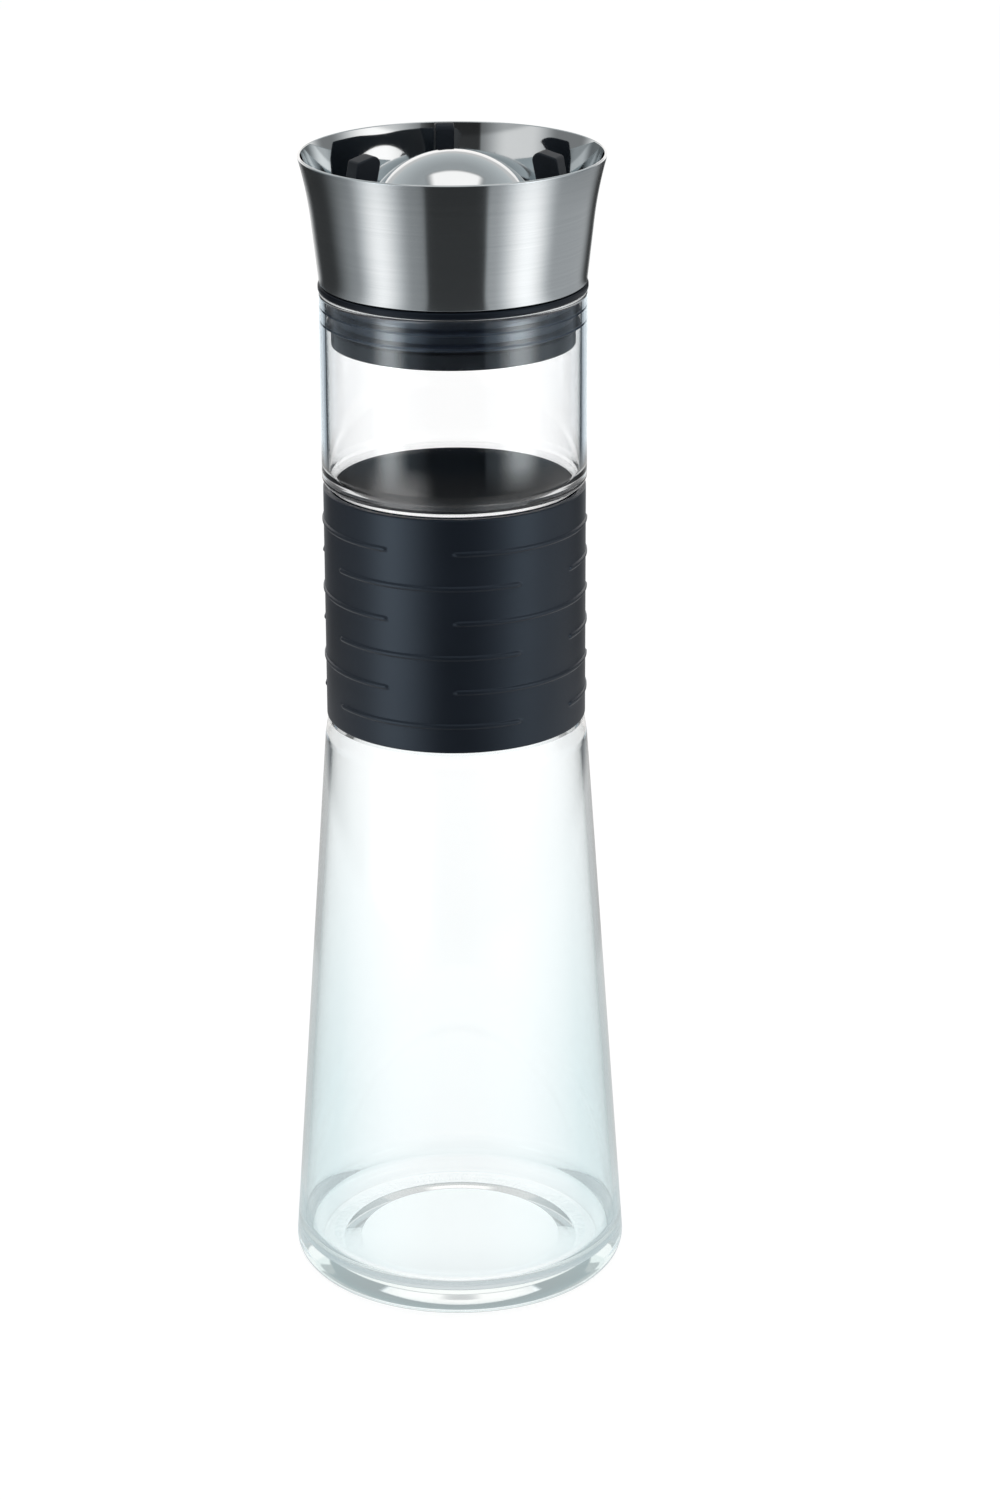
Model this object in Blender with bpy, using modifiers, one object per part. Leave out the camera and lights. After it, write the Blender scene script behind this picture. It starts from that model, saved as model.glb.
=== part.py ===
"""Glass carafe with a ribbed grip sleeve and a self-closing pouring lid.

Lengths are in metres, +Z is up, and the origin is the middle of the surface that
the carafe stands on. The lid's pieces hang from an empty at the glass rim, and the
valve's pieces from an empty on the valve seat, so both lift along +Z.
"""

import math

import bmesh
import bpy
from mathutils import Matrix, Vector

MM = 0.001

# Room between pieces that touch
FIT_GAP = 0.3 * MM

# Glass body
GLASS_HEIGHT = 274.6 * MM
GLASS_WALL = 1.8 * MM
GLASS_RIM_FILLET = 1.0 * MM
NECK_RADIUS = 34.7 * MM
CONE_TOP_RADIUS = 35.0 * MM
CONE_FOOT_RADIUS = 45.8 * MM
HEEL_FILLET = 7.4 * MM
STANDING_RING_WIDTH = 6.0 * MM
PUNT_DEPTH = 1.5 * MM
PUNT_SLOPE_RUN = 5.0 * MM
FLOOR_THICKNESS = 4.5 * MM
FLOOR_FILLET = 8.0 * MM
WAIST_DEPTH = 1.95 * MM
WAIST_FILLET = 0.3 * MM
SHOULDER_RISE = 1.6 * MM
SHOULDER_FILLET = 1.5 * MM
LEDGE_SETBACK = 0.25 * MM
LEDGE_DROP = 0.7 * MM
FLARE_RUN = 5.0 * MM
FLARE_FILLET = 9.0 * MM
INNER_SHOULDER_RISE = 4.0 * MM

# Grip sleeve and its ribs: three arcs in each row, every other row turned by half a pitch
SLEEVE_BELOW_RIM = 52.0 * MM
SLEEVE_HEIGHT = 63.2 * MM
SLEEVE_THICKNESS = 1.4 * MM
SLEEVE_EDGE_FILLET = 0.4 * MM
RIB_ROWS = 6
RIBS_PER_ROW = 3
RIB_ROW_PITCH = 9.35 * MM
RIB_TOP_MARGIN = 9.1 * MM
RIB_SWEEP = math.radians(90.0)
RIB_START = math.radians(-90.7)
RIB_FOOT_HEIGHT = 2.2 * MM
RIB_CREST_HEIGHT = 0.9 * MM
RIB_PROUD = 0.38 * MM
RIB_ROOT = 0.5 * MM

# Neck seal: a flange on the glass rim and two lips inside the neck
SEAL_FLANGE = 1.8 * MM
SEAL_PROUD = 0.35 * MM
SEAL_WALL = 2.4 * MM
SEAL_TAIL = 0.4 * MM
SEAL_FILLET = 0.6 * MM
LIP_COUNT = 2
LIP_REACH = 1.6 * MM
LIP_ROOT = 1.7 * MM
LIP_TIP = 0.8 * MM
LIP_PITCH = 3.7 * MM
LIP_TOP_DEPTH = 3.1 * MM

# Pouring collar: one steel sheet, a tapered foot that flares to the rim
COLLAR_INSET = 0.1 * MM
COLLAR_SHEET = 0.8 * MM
COLLAR_TAPER = 0.111
COLLAR_TAPER_HEIGHT = 16.1 * MM
COLLAR_FLARE_HEIGHT = 16.9 * MM
COLLAR_FLARE_REACH = 3.3 * MM
COLLAR_EDGE_BEVEL = 0.25 * MM

# Stopper core: the plug inside the seal, with the throat and the valve seat
CORE_WALL = 2.5 * MM
CORE_FOOT = 4.3 * MM
CORE_FOOT_LEDGE = 0.7 * MM
CORE_FILLET = 0.6 * MM
CORE_RISE = 2.2 * MM
SEAT_WIDTH = 5.2 * MM
SEAT_LAND = 3.2 * MM
SEAT_RISE = 1.0 * MM
SEAT_THICKNESS = 3.2 * MM

# Guide cage: a deck ring on the collar's flange and three fingers round the dome
DECK_THICKNESS = 3.0 * MM
DECK_EDGE_FILLET = 0.7 * MM
FINGER_COUNT = 3
FINGER_TURN = math.radians(94.4)
FINGER_HEIGHT = 35.2 * MM
FINGER_DEPTH = 5.7 * MM
FINGER_WIDTH = 4.9 * MM
FINGER_TAPER = 1.2 * MM
FINGER_TAPER_HEIGHT = 8.0 * MM
FINGER_TOP_DROP = 1.8 * MM
FINGER_BEVEL = 0.4 * MM
FINGER_ROOT = 1.5 * MM
NOSE_REACH = 2.9 * MM
NOSE_LENGTH = 13.0 * MM
NOSE_FILLET = 2.0 * MM
GUIDE_CLEARANCE = 0.75 * MM

# Valve: a steel dome on a carrier, with a gasket that closes on the seat
DOME_OVERLAP = 4.3 * MM
DOME_SHEET = 0.7 * MM
DOME_EDGE_RISE = 1.0 * MM
GASKET_THICKNESS = 1.8 * MM
GASKET_INSET = 0.7 * MM
GASKET_FILLET = 0.5 * MM
CARRIER_THICKNESS = 2.2 * MM
BOSS_CLEARANCE = 1.0 * MM
BOSS_DEPTH = 1.6 * MM
BOSS_WALL = 1.8 * MM

# Facets: sides of a turned piece, and the turn of one facet along a fillet or an arc
ROUND_STEPS = 40
HIDDEN_STEPS = 32
FILLET_TURN = math.radians(46.0)
ARC_TURN = math.radians(16.0)
FLARE_TURN = math.radians(4.0)
DOME_TURN = math.radians(9.0)
LARGE_FILLET = 3.0 * MM
FILLET_SHARE = 0.48
SMOOTH_ANGLE = math.radians(35.0)
WELD = 0.01 * MM

# Radii of the pieces that nest in the neck, from the glass inwards
neck_bore = NECK_RADIUS - GLASS_WALL
waist_radius = NECK_RADIUS - WAIST_DEPTH
sleeve_bore = waist_radius + FIT_GAP
sleeve_radius = sleeve_bore + SLEEVE_THICKNESS
ledge_radius = sleeve_radius - LEDGE_SETBACK
collar_foot = NECK_RADIUS - COLLAR_INSET
flange_radius = collar_foot + SEAL_PROUD
lip_radius = neck_bore - FIT_GAP
seal_radius = lip_radius - LIP_REACH
seal_bore = seal_radius - SEAL_WALL
core_radius = seal_bore - FIT_GAP
core_bore = core_radius - CORE_WALL
throat_radius = core_bore - SEAT_WIDTH
dome_radius = throat_radius + DOME_OVERLAP
finger_inner = dome_radius + GUIDE_CLEARANCE
finger_outer = finger_inner + FINGER_DEPTH
deck_radius = collar_foot - COLLAR_SHEET - FIT_GAP
boss_radius = throat_radius - BOSS_CLEARANCE

# Heights above the standing surface
sleeve_top = GLASS_HEIGHT - SLEEVE_BELOW_RIM
sleeve_bottom = sleeve_top - SLEEVE_HEIGHT
waist_top = sleeve_top + FIT_GAP
waist_bottom = sleeve_bottom - FIT_GAP
ledge_height = waist_bottom - LEDGE_DROP
cone_top = ledge_height - FLARE_RUN

# Heights above the glass rim
seal_top = FIT_GAP + SEAL_FLANGE
seal_base = -(LIP_TOP_DEPTH + (LIP_COUNT - 1) * LIP_PITCH + LIP_ROOT + SEAL_TAIL)
collar_base = seal_top + FIT_GAP
deck_base = collar_base + COLLAR_SHEET + FIT_GAP
deck_top = deck_base + DECK_THICKNESS
core_shoulder = deck_top + CORE_RISE
seat_height = core_shoulder + SEAT_RISE
finger_top = deck_base + FINGER_HEIGHT

# Heights above the valve seat
gasket_top = FIT_GAP + GASKET_THICKNESS
carrier_base = gasket_top + FIT_GAP
carrier_top = carrier_base + CARRIER_THICKNESS
dome_centre = carrier_base - DOME_EDGE_RISE


def clear_scene():
    for item in list(bpy.data.objects):
        bpy.data.objects.remove(item, do_unlink=True)


def new_collection(name):
    collection = bpy.data.collections.new(name)
    bpy.context.scene.collection.children.link(collection)
    return collection


def finish(name, colour, roughness, metallic=0.0, transmission=0.0):
    made = bpy.data.materials.new(name)
    made.use_nodes = True
    shader = made.node_tree.nodes["Principled BSDF"]
    shader.inputs["Base Color"].default_value = (*colour, 1.0)
    shader.inputs["Roughness"].default_value = roughness
    shader.inputs["Metallic"].default_value = metallic
    shader.inputs["Transmission Weight"].default_value = transmission
    return made


def arc(centre, radius, start, sweep, turn):
    """Points on an arc of the profile plane, from the angle start on, one for each turn or less."""
    steps = max(1, math.ceil(abs(sweep) / turn))
    angles = [start + sweep * step / steps for step in range(steps + 1)]
    return [centre + radius * Vector((math.cos(angle), math.sin(angle))) for angle in angles]


def filleted(corners, closed=True):
    """Outline through corners given as (radius, height, fillet). An open outline keeps its ends sharp."""
    outline = []
    for index, (radius, height, fillet) in enumerate(corners):
        corner = Vector((radius, height))
        at_end = not closed and index in (0, len(corners) - 1)
        if fillet == 0.0 or at_end:
            outline.append(corner)
            continue
        to_last = Vector(corners[index - 1][:2]) - corner
        to_next = Vector(corners[(index + 1) % len(corners)][:2]) - corner
        half = to_last.angle(to_next) / 2
        longest_run = FILLET_SHARE * min(to_last.length, to_next.length)
        run = min(fillet / math.tan(half), longest_run)
        bend = run * math.tan(half)
        middle = (to_last.normalized() + to_next.normalized()).normalized()
        centre = corner + middle * bend / math.sin(half)
        first = corner + to_last.normalized() * run - centre
        left_turn = to_last.cross(to_next) < 0
        sweep = (math.pi - 2 * half) * (1 if left_turn else -1)
        turn = ARC_TURN if bend >= LARGE_FILLET else FILLET_TURN
        outline.extend(arc(centre, bend, math.atan2(first.y, first.x), sweep, turn))
    return outline


def tangent_arc(start, direction, end, turn):
    """Points after start on the arc that leaves start along direction and ends at end."""
    chord = end - start
    side = Vector((-direction.y, direction.x)).normalized()
    radius = chord.length_squared / (2 * chord.dot(side))
    centre = start + side * radius
    spoke = start - centre
    sweep = 2 * math.asin(chord.length / (2 * abs(radius))) * math.copysign(1, radius)
    return arc(centre, spoke.length, math.atan2(spoke.y, spoke.x), sweep, turn)[1:]


def add_object(name, mesh, collection, material=None, parent=None):
    made = bpy.data.objects.new(name, mesh)
    made.parent = parent
    collection.objects.link(made)
    if material:
        mesh.materials.append(material)
    return made


def turned(name, outline, collection, material, parent=None, closed=True, steps=ROUND_STEPS):
    """Turns an outline of (radius, height) points, which runs down its outer side, round the Z axis."""
    points = [(radius, 0.0, height) for radius, height in outline]
    edges = [(index, index + 1) for index in range(len(points) - 1)]
    if closed:
        edges.append((len(points) - 1, 0))
    mesh = bpy.data.meshes.new(name)
    mesh.from_pydata(points, edges, [])
    made = add_object(name, mesh, collection, material, parent)
    screw = made.modifiers.new("turn", "SCREW")
    screw.steps = steps
    screw.render_steps = steps
    screw.use_merge_vertices = True
    screw.merge_threshold = WELD
    screw.use_smooth_shade = True
    return made


def sheet_wall(made, thickness):
    """Gives an open turned surface its sheet thickness, inwards from the outer face."""
    wall = made.modifiers.new("sheet", "SOLIDIFY")
    wall.thickness = thickness
    wall.offset = -1.0
    wall.use_even_offset = True


def soften_edges(made, width):
    bevel = made.modifiers.new("edges", "BEVEL")
    bevel.width = width
    bevel.segments = 1
    bevel.limit_method = "ANGLE"
    bevel.angle_limit = SMOOTH_ANGLE


def unite(made, other):
    """Joins another solid to this one. The other one stays as a hidden guide."""
    union = made.modifiers.new("join_" + other.name, "BOOLEAN")
    union.operation = "UNION"
    union.object = other
    other.hide_render = True
    other.display_type = "WIRE"


def cone_radius(height):
    """Outer radius of the glass cone at a height above the standing surface."""
    return CONE_FOOT_RADIUS + (CONE_TOP_RADIUS - CONE_FOOT_RADIUS) * height / cone_top


def make_glass_body(collection, material):
    ring_radius = CONE_FOOT_RADIUS - HEEL_FILLET - STANDING_RING_WIDTH
    floor = PUNT_DEPTH + FLOOR_THICKNESS
    outer_side = [
        (NECK_RADIUS, GLASS_HEIGHT, GLASS_RIM_FILLET),
        (NECK_RADIUS, waist_top + SHOULDER_RISE, SHOULDER_FILLET),
        (waist_radius, waist_top, WAIST_FILLET),
        (waist_radius, waist_bottom, WAIST_FILLET),
        (ledge_radius, ledge_height, WAIST_FILLET),
        (CONE_TOP_RADIUS, cone_top, FLARE_FILLET),
        (CONE_FOOT_RADIUS, 0.0, HEEL_FILLET),
        (ring_radius, 0.0, PUNT_DEPTH),
        (ring_radius - PUNT_SLOPE_RUN, PUNT_DEPTH, PUNT_DEPTH),
        (0.0, PUNT_DEPTH, 0.0),
    ]
    inner_side = [
        (0.0, floor, 0.0),
        (cone_radius(floor) - GLASS_WALL, floor, FLOOR_FILLET),
        (CONE_TOP_RADIUS - GLASS_WALL, cone_top, FLARE_FILLET),
        (waist_radius - GLASS_WALL, waist_bottom, FLARE_FILLET),
        (waist_radius - GLASS_WALL, waist_top, FLARE_FILLET),
        (neck_bore, waist_top + INNER_SHOULDER_RISE, FLARE_FILLET),
        (neck_bore, GLASS_HEIGHT, GLASS_RIM_FILLET),
    ]
    return turned("glass_body", filleted(outer_side + inner_side), collection, material)


def rib_solid(row, place):
    """One rib of the sleeve as a closed solid: its section swept round the axis."""
    height = sleeve_top - RIB_TOP_MARGIN - row * RIB_ROW_PITCH
    pitch = 2 * math.pi / RIBS_PER_ROW
    start = RIB_START + place * pitch + (row % 2) * pitch / 2
    root_radius = sleeve_radius - RIB_ROOT
    crest_radius = sleeve_radius + RIB_PROUD
    section = [
        (root_radius, height + RIB_FOOT_HEIGHT / 2),
        (root_radius, height - RIB_FOOT_HEIGHT / 2),
        (crest_radius, height - RIB_CREST_HEIGHT / 2),
        (crest_radius, height + RIB_CREST_HEIGHT / 2),
    ]
    solid = bmesh.new()
    face = solid.faces.new([solid.verts.new((radius, 0.0, level)) for radius, level in section])
    axis = (0.0, 0.0, 1.0)
    bmesh.ops.rotate(solid, verts=solid.verts[:], cent=(0, 0, 0), matrix=Matrix.Rotation(start, 3, "Z"))
    steps = round(ROUND_STEPS * RIB_SWEEP / (2 * math.pi))
    region = [face, *face.edges, *face.verts]
    bmesh.ops.spin(solid, geom=region, cent=(0, 0, 0), axis=axis, angle=RIB_SWEEP, steps=steps)
    bmesh.ops.recalc_face_normals(solid, faces=solid.faces[:])
    return solid


def make_sleeve_ribs(guides):
    ribs = bpy.data.meshes.new("sleeve_ribs")
    together = bmesh.new()
    for row in range(RIB_ROWS):
        for place in range(RIBS_PER_ROW):
            solid = rib_solid(row, place)
            one_rib = bpy.data.meshes.new("one_rib")
            solid.to_mesh(one_rib)
            solid.free()
            together.from_mesh(one_rib)
            bpy.data.meshes.remove(one_rib)
    together.to_mesh(ribs)
    together.free()
    return add_object("sleeve_ribs", ribs, guides)


def make_grip_sleeve(collection, guides, material):
    corners = [
        (sleeve_radius, sleeve_top, SLEEVE_EDGE_FILLET),
        (sleeve_radius, sleeve_bottom, SLEEVE_EDGE_FILLET),
        (sleeve_bore, sleeve_bottom, 0.0),
        (sleeve_bore, sleeve_top, 0.0),
    ]
    sleeve = turned("grip_sleeve", filleted(corners), collection, material)
    unite(sleeve, make_sleeve_ribs(guides))
    return sleeve


def make_neck_seal(collection, material, lid):
    outer_side = [
        (flange_radius, seal_top, SEAL_FILLET),
        (flange_radius, FIT_GAP, SEAL_FILLET),
        (seal_radius, FIT_GAP, 0.0),
    ]
    for lip in range(LIP_COUNT):
        root_top = -LIP_TOP_DEPTH - lip * LIP_PITCH
        tip_middle = root_top - LIP_ROOT / 2
        outer_side += [
            (seal_radius, root_top, 0.0),
            (lip_radius, tip_middle + LIP_TIP / 2, 0.0),
            (lip_radius, tip_middle - LIP_TIP / 2, 0.0),
            (seal_radius, root_top - LIP_ROOT, 0.0),
        ]
    inner_side = [
        (seal_radius, seal_base, 0.0),
        (seal_bore, seal_base, 0.0),
        (seal_bore, seal_top, 0.0),
    ]
    return turned("neck_seal", filleted(outer_side + inner_side), collection, material, lid)


def make_pouring_collar(collection, material, lid):
    taper_top = Vector((collar_foot + COLLAR_TAPER * COLLAR_TAPER_HEIGHT, collar_base + COLLAR_TAPER_HEIGHT))
    rim = taper_top + Vector((COLLAR_FLARE_REACH, COLLAR_FLARE_HEIGHT))
    flare = tangent_arc(taper_top, Vector((COLLAR_TAPER, 1.0)), rim, FLARE_TURN)
    foot = Vector((collar_foot, collar_base))
    flange_edge = Vector((core_radius + FIT_GAP, collar_base))
    outline = [*reversed(flare), taper_top, foot, flange_edge]
    collar = turned("pouring_collar", outline, collection, material, lid, closed=False)
    sheet_wall(collar, COLLAR_SHEET)
    soften_edges(collar, COLLAR_EDGE_BEVEL)
    return collar


def make_stopper_core(collection, material, lid):
    foot_top = seal_base - FIT_GAP
    foot_base = foot_top - CORE_FOOT
    foot_radius = seal_radius + CORE_FOOT_LEDGE
    corners = [
        (throat_radius + SEAT_LAND, seat_height, 0.0),
        (throat_radius + SEAT_LAND + SEAT_RISE, core_shoulder, 0.0),
        (core_radius, core_shoulder, CORE_FILLET),
        (core_radius, foot_top, 0.0),
        (foot_radius, foot_top, CORE_FILLET),
        (foot_radius, foot_base, CORE_FILLET),
        (core_bore, foot_base, CORE_FILLET),
        (core_bore, seat_height - SEAT_THICKNESS, CORE_FILLET),
        (throat_radius, seat_height - SEAT_THICKNESS, CORE_FILLET),
        (throat_radius, seat_height, 0.0),
    ]
    return turned("stopper_core", filleted(corners), collection, material, lid, steps=HIDDEN_STEPS)


def make_finger(index, guides, lid):
    """One finger of the cage: its side view cut from a plate that stands on a radius of the deck."""
    underside = core_shoulder + FIT_GAP
    root_radius = core_radius + FIT_GAP
    corners = [
        (finger_outer, finger_top - FINGER_TAPER_HEIGHT, 0.0),
        (finger_outer - FINGER_TAPER, finger_top - FINGER_TOP_DROP, 0.0),
        (finger_inner - NOSE_REACH, finger_top, NOSE_FILLET),
        (finger_inner, finger_top - NOSE_LENGTH, 0.0),
        (finger_inner, underside, 0.0),
        (root_radius + FIT_GAP, underside, 0.0),
        (root_radius + FIT_GAP, deck_top - FINGER_ROOT, 0.0),
        (finger_outer, deck_top - FINGER_ROOT, 0.0),
    ]
    outline = bpy.data.curves.new("finger_outline", "CURVE")
    outline.dimensions = "2D"
    outline.fill_mode = "BOTH"
    outline.extrude = FINGER_WIDTH / 2
    points = filleted(corners)
    spline = outline.splines.new("POLY")
    spline.points.add(len(points) - 1)
    for place, point in zip(spline.points, points):
        place.co = (point.x, point.y, 0.0, 1.0)
    spline.use_cyclic_u = True
    plate = add_object("finger_plate", outline, guides)
    bpy.context.view_layer.update()
    graph = bpy.context.evaluated_depsgraph_get()
    mesh = bpy.data.meshes.new_from_object(plate.evaluated_get(graph))
    bpy.data.objects.remove(plate)
    solid = bmesh.new()
    solid.from_mesh(mesh)
    bmesh.ops.remove_doubles(solid, verts=solid.verts[:], dist=WELD)
    bmesh.ops.recalc_face_normals(solid, faces=solid.faces[:])
    solid.to_mesh(mesh)
    solid.free()
    finger = add_object(f"finger_{index + 1}", mesh, guides, parent=lid)
    turn = FINGER_TURN + index * 2 * math.pi / FINGER_COUNT
    finger.rotation_euler = (math.radians(90.0), 0.0, turn)
    soften_edges(finger, FINGER_BEVEL)
    return finger


def make_guide_cage(collection, guides, material, lid):
    bore = core_radius + FIT_GAP
    corners = [
        (deck_radius, deck_top, DECK_EDGE_FILLET),
        (deck_radius, deck_base, DECK_EDGE_FILLET),
        (bore, deck_base, 0.0),
        (bore, deck_top, 0.0),
    ]
    cage = turned("guide_cage", filleted(corners), collection, material, lid)
    for index in range(FINGER_COUNT):
        unite(cage, make_finger(index, guides, lid))
    return cage


def make_valve_dome(collection, material, valve):
    edge_turn = math.asin(DOME_EDGE_RISE / dome_radius)
    centre = Vector((0.0, dome_centre))
    outline = arc(centre, dome_radius, math.pi / 2, edge_turn - math.pi / 2, DOME_TURN)
    outline[0].x = 0.0
    dome = turned("valve_dome", outline, collection, material, valve, closed=False)
    sheet_wall(dome, DOME_SHEET)
    return dome


def make_dome_carrier(collection, material, valve):
    dome_bore = dome_radius - DOME_SHEET
    rise = carrier_top - dome_centre
    plate_radius = math.sqrt(dome_bore ** 2 - rise ** 2) - FIT_GAP
    boss_base = -BOSS_DEPTH
    corners = [
        (0.0, carrier_top, 0.0),
        (plate_radius, carrier_top, 0.0),
        (plate_radius, carrier_base, 0.0),
        (boss_radius, carrier_base, 0.0),
        (boss_radius, boss_base, CORE_FILLET),
        (boss_radius - BOSS_WALL, boss_base, CORE_FILLET),
        (boss_radius - BOSS_WALL, carrier_base, 0.0),
        (0.0, carrier_base, 0.0),
    ]
    outline = filleted(corners, closed=False)
    return turned("dome_carrier", outline, collection, material, valve, closed=False, steps=HIDDEN_STEPS)


def make_valve_gasket(collection, material, valve):
    bore = boss_radius + FIT_GAP
    gasket_radius = dome_radius - GASKET_INSET
    corners = [
        (gasket_radius, gasket_top, GASKET_FILLET),
        (gasket_radius, FIT_GAP, GASKET_FILLET),
        (bore, FIT_GAP, 0.0),
        (bore, gasket_top, 0.0),
    ]
    return turned("valve_gasket", filleted(corners), collection, material, valve, steps=HIDDEN_STEPS)


def make_empty(name, height, collection, parent=None):
    empty = bpy.data.objects.new(name, None)
    empty.location.z = height
    empty.parent = parent
    collection.objects.link(empty)
    return empty


def main():
    clear_scene()
    parts = new_collection("glass_carafe")
    guides = new_collection("glass_carafe_guides")
    lid = make_empty("lid_axis", GLASS_HEIGHT, parts)
    valve = make_empty("valve_axis", seat_height, parts, lid)

    clear_glass = finish("clear_glass", (0.93, 0.97, 0.97), 0.02, transmission=1.0)
    grip_silicone = finish("grip_silicone", (0.018, 0.021, 0.027), 0.42)
    seal_silicone = finish("seal_silicone", (0.012, 0.013, 0.015), 0.38)
    black_plastic = finish("black_plastic", (0.010, 0.010, 0.011), 0.45)
    brushed_steel = finish("brushed_steel", (0.60, 0.59, 0.57), 0.28, metallic=1.0)
    polished_steel = finish("polished_steel", (0.66, 0.65, 0.63), 0.10, metallic=1.0)

    make_glass_body(parts, clear_glass)
    make_grip_sleeve(parts, guides, grip_silicone)
    make_neck_seal(parts, seal_silicone, lid)
    make_pouring_collar(parts, brushed_steel, lid)
    make_stopper_core(parts, black_plastic, lid)
    make_guide_cage(parts, guides, black_plastic, lid)
    make_valve_dome(parts, polished_steel, valve)
    make_dome_carrier(parts, black_plastic, valve)
    make_valve_gasket(parts, seal_silicone, valve)
    bpy.context.view_layer.update()


main()
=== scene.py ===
"""Looks of the glass carafe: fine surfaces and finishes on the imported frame, the studio and the camera."""

import math
from collections import namedtuple

import bmesh
import bpy
from mathutils import Matrix, Vector


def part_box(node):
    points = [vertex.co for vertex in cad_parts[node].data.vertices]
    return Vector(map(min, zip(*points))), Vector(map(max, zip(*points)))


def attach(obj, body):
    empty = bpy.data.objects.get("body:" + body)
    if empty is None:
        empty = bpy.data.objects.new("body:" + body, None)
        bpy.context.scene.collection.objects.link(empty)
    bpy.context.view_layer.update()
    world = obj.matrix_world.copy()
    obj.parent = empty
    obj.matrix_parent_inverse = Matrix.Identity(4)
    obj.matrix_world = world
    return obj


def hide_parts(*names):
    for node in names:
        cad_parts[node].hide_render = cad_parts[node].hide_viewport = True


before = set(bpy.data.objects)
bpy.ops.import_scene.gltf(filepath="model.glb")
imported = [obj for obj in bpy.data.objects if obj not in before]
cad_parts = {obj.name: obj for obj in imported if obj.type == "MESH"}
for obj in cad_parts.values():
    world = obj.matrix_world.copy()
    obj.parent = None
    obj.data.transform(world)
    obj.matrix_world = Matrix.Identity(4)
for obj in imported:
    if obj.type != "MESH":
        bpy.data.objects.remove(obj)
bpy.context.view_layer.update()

MM = 0.001

# Picture and camera, fitted to the rim, collar, sleeve and base of the carafe
PICTURE_WIDTH = 1000
PICTURE_HEIGHT = 1500
FOCAL_PIXELS = 4156.44
AXIS_PIXEL = 456.5
SENSOR = 36.0
CAMERA_PLACE = Vector((0.0, -1.0472, 0.5322))
CAMERA_PITCH = 0.3518
CAMERA_ROLL = -0.0074

# Glass body
GLASS_WALL = 1.8 * MM
GLASS_RIM_FILLET = 1.0 * MM
NECK_RADIUS = 34.7 * MM
CONE_TOP_RADIUS = 35.0 * MM
CONE_FOOT_RADIUS = 45.8 * MM
HEEL_FILLET = 7.4 * MM
STANDING_RING_WIDTH = 6.0 * MM
PUNT_DEPTH = 1.5 * MM
PUNT_SLOPE_RUN = 5.0 * MM
FLOOR_THICKNESS = 4.5 * MM
FLOOR_FILLET = 8.0 * MM
WAIST_DEPTH = 1.95 * MM
WAIST_FILLET = 0.3 * MM
SHOULDER_RISE = 1.6 * MM
SHOULDER_FILLET = 1.5 * MM
LEDGE_SETBACK = 0.25 * MM
LEDGE_DROP = 0.7 * MM
FLARE_RUN = 5.0 * MM
FLARE_FILLET = 9.0 * MM
INNER_SHOULDER_RISE = 4.0 * MM

# Grip sleeve
SLEEVE_GAP = 0.3 * MM
SLEEVE_THICKNESS = 1.4 * MM
SLEEVE_EDGE_FILLET = 0.4 * MM
RIB_ROWS = 6
RIBS_PER_ROW = 3
RIB_ROW_PITCH = 9.35 * MM
RIB_TOP_MARGIN = 9.1 * MM
RIB_SWEEP = math.radians(90.0)
RIB_START = math.radians(-90.7)
RIB_FOOT = 1.7 * MM
RIB_CREST = 0.5 * MM
RIB_PROUD = 0.38 * MM
RIB_LEVELS = 15
PLAIN_LEVELS = 3

# Neck seal
SEAL_FLANGE = 1.8 * MM
SEAL_FILLET = 0.6 * MM
SEAL_WALL = 2.4 * MM
LIP_COUNT = 2
LIP_REACH = 1.6 * MM
LIP_PRESS = 0.03 * MM
LIP_ROOT = 1.7 * MM
LIP_TIP = 0.8 * MM
LIP_TIP_FILLET = 0.3 * MM
LIP_PITCH = 3.7 * MM
LIP_TOP_DEPTH = 3.1 * MM

# Pouring collar
COLLAR_FOOT_RADIUS = 34.6 * MM
COLLAR_SHEET = 0.8 * MM
COLLAR_TAPER = 0.111
COLLAR_TAPER_HEIGHT = 16.1 * MM
COLLAR_FLARE_HEIGHT = 16.9 * MM
COLLAR_FLARE_REACH = 3.3 * MM
COLLAR_FLANGE_EDGE = 28.6 * MM
COLLAR_EDGE_FILLET = 0.3 * MM

# Stopper core and guide cage
CORE_RADIUS = 28.3 * MM
CORE_WALL = 2.5 * MM
CORE_FOOT = 4.3 * MM
CORE_FOOT_LEDGE = 0.7 * MM
CORE_FILLET = 0.6 * MM
SEAT_WIDTH = 5.2 * MM
SEAT_LAND = 3.2 * MM
SEAT_RISE = 1.0 * MM
SEAT_THICKNESS = 3.2 * MM
DECK_THICKNESS = 3.0 * MM
DECK_EDGE_FILLET = 0.7 * MM
FINGER_COUNT = 3
FINGER_TURN = math.radians(94.4)
FINGER_HEIGHT = 35.2 * MM
FINGER_DEPTH = 5.7 * MM
FINGER_WIDTH = 4.9 * MM
FINGER_TAPER = 1.2 * MM
FINGER_TAPER_HEIGHT = 8.0 * MM
FINGER_TOP_DROP = 1.8 * MM
FINGER_FILLET = 0.9 * MM
FINGER_BEVEL = 0.45 * MM
FINGER_ROOT = 1.5 * MM
FINGER_LIFT = 2.5 * MM
NOSE_REACH = 2.9 * MM
NOSE_LENGTH = 13.0 * MM
NOSE_FILLET = 2.0 * MM
GUIDE_CLEARANCE = 0.75 * MM
FIT_GAP = 0.3 * MM

# Valve
DOME_SHEET = 0.7 * MM
DOME_EDGE_FILLET = 0.25 * MM
GASKET_FILLET = 0.5 * MM
BOSS_CLEARANCE = 1.0 * MM
BOSS_WALL = 1.8 * MM
CARRIER_THICKNESS = 2.2 * MM

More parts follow.
